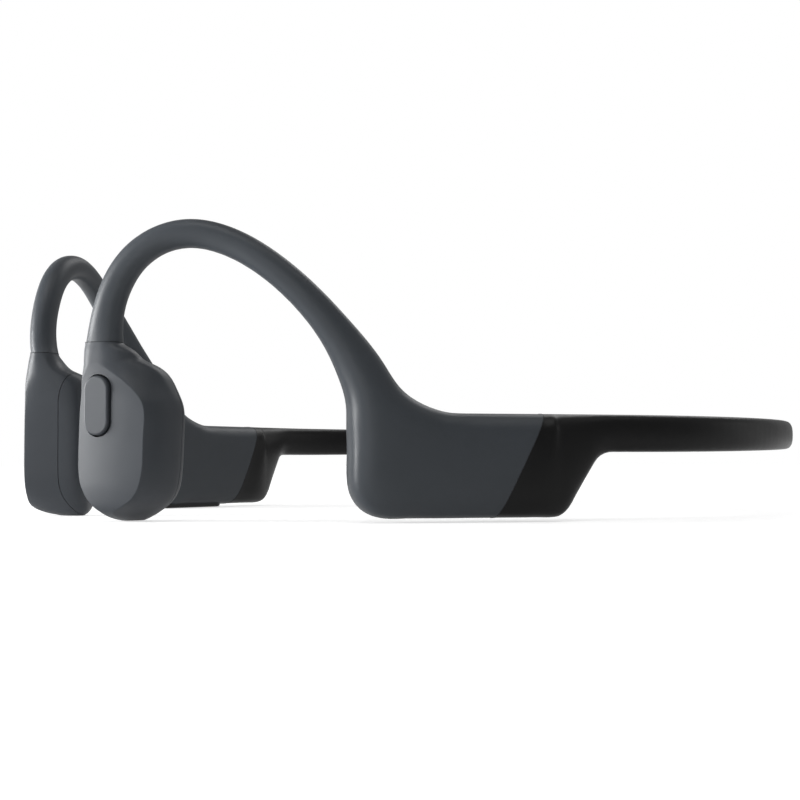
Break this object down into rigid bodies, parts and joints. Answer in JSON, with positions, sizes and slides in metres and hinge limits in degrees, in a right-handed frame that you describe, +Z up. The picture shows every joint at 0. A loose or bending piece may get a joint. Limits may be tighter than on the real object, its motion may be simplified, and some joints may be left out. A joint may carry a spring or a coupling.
{
  "type": "bone conduction headphones",
  "caption": "Wireless open-ear bone conduction headphones with grey ear hooks, a black neckband and flat grey transducers at the cheekbones.",
  "frame": {"origin": "middle of the width and length, on the surface that the transducers and the control strip rest on", "axes": "+X towards the wearer's left, -Y towards the face (front), +Y towards the back of the neck, +Z up"},
  "size_m": [0.1174, 0.1472, 0.0469],
  "materials": {
    "grey_silicone": "matte",
    "black_silicone": "matte",
    "grey_plastic": "satin",
    "pad_grey": "matte",
    "black_plastic": "satin",
    "case_plastic": "matte",
    "memory_metal": "satin",
    "magnet_nickel": "polished",
    "yoke_steel": "satin",
    "copper_coil": "satin",
    "spring_steel": "satin",
    "lead_jacket": "matte",
    "circuit_board": "satin",
    "chip_black": "satin",
    "antenna_ceramic": "matte",
    "cell_foil": "satin",
    "gold_contact": "polished",
    "led_lens": "gloss",
    "switch_metal": "satin"
  },
  "bodies": {
    "headset": {"left_hook_sleeve": "grey_silicone", "left_hook_wire": "memory_metal", "left_hook_leads": "lead_jacket", "left_hook_anchor": "yoke_steel", "left_neckband_anchor": "yoke_steel", "left_transducer_housing": "grey_plastic", "left_contact_pad": "pad_grey", "left_driver_coil": "copper_coil", "left_driver_yoke": "yoke_steel", "left_driver_magnet": "magnet_nickel", "left_driver_pole": "yoke_steel", "left_driver_spring": "spring_steel", "left_driver_frame": "black_plastic", "left_case_outer": "case_plastic", "left_case_inner": "case_plastic", "right_hook_sleeve": "grey_silicone", "right_hook_wire": "memory_metal", "right_hook_leads": "lead_jacket", "right_hook_anchor": "yoke_steel", "right_neckband_anchor": "yoke_steel", "right_transducer_housing": "grey_plastic", "right_contact_pad": "pad_grey", "right_driver_coil": "copper_coil", "right_driver_yoke": "yoke_steel", "right_driver_magnet": "magnet_nickel", "right_driver_pole": "yoke_steel", "right_driver_spring": "spring_steel", "right_driver_frame": "black_plastic", "right_case_outer": "case_plastic", "right_case_inner": "case_plastic", "neckband_sleeve": "black_silicone", "neckband_wire": "memory_metal", "neckband_leads": "lead_jacket", "multifunction_board": "circuit_board", "multifunction_switch": "switch_metal", "battery_cell": "cell_foil", "battery_board": "circuit_board", "main_board": "circuit_board", "main_chip": "chip_black", "board_parts": "chip_black", "antenna": "antenna_ceramic", "microphone": "switch_metal", "control_strip": "black_plastic", "volume_switches": "switch_metal", "charging_contacts": "gold_contact", "charging_magnets": "magnet_nickel", "status_led_window": "led_lens"},
    "multifunction_button": {"multifunction_button": "grey_plastic"},
    "volume_up_button": {"volume_up_button": "black_plastic"},
    "volume_down_button": {"volume_down_button": "black_plastic"}
  },
  "joints": [
    {"name": "press_multifunction", "type": "slide", "parent": "headset", "child": "multifunction_button", "axis": [0.5446, -0.8387, 0], "range_m": [-0.00035, 0], "stiffness_N_per_m": 400},
    {"name": "press_volume_up", "type": "slide", "parent": "headset", "child": "volume_up_button", "axis": [0, 0, 1], "range_m": [0, 0.00035], "stiffness_N_per_m": 400},
    {"name": "press_volume_down", "type": "slide", "parent": "headset", "child": "volume_down_button", "axis": [0, 0, 1], "range_m": [0, 0.00035], "stiffness_N_per_m": 400}
  ]
}
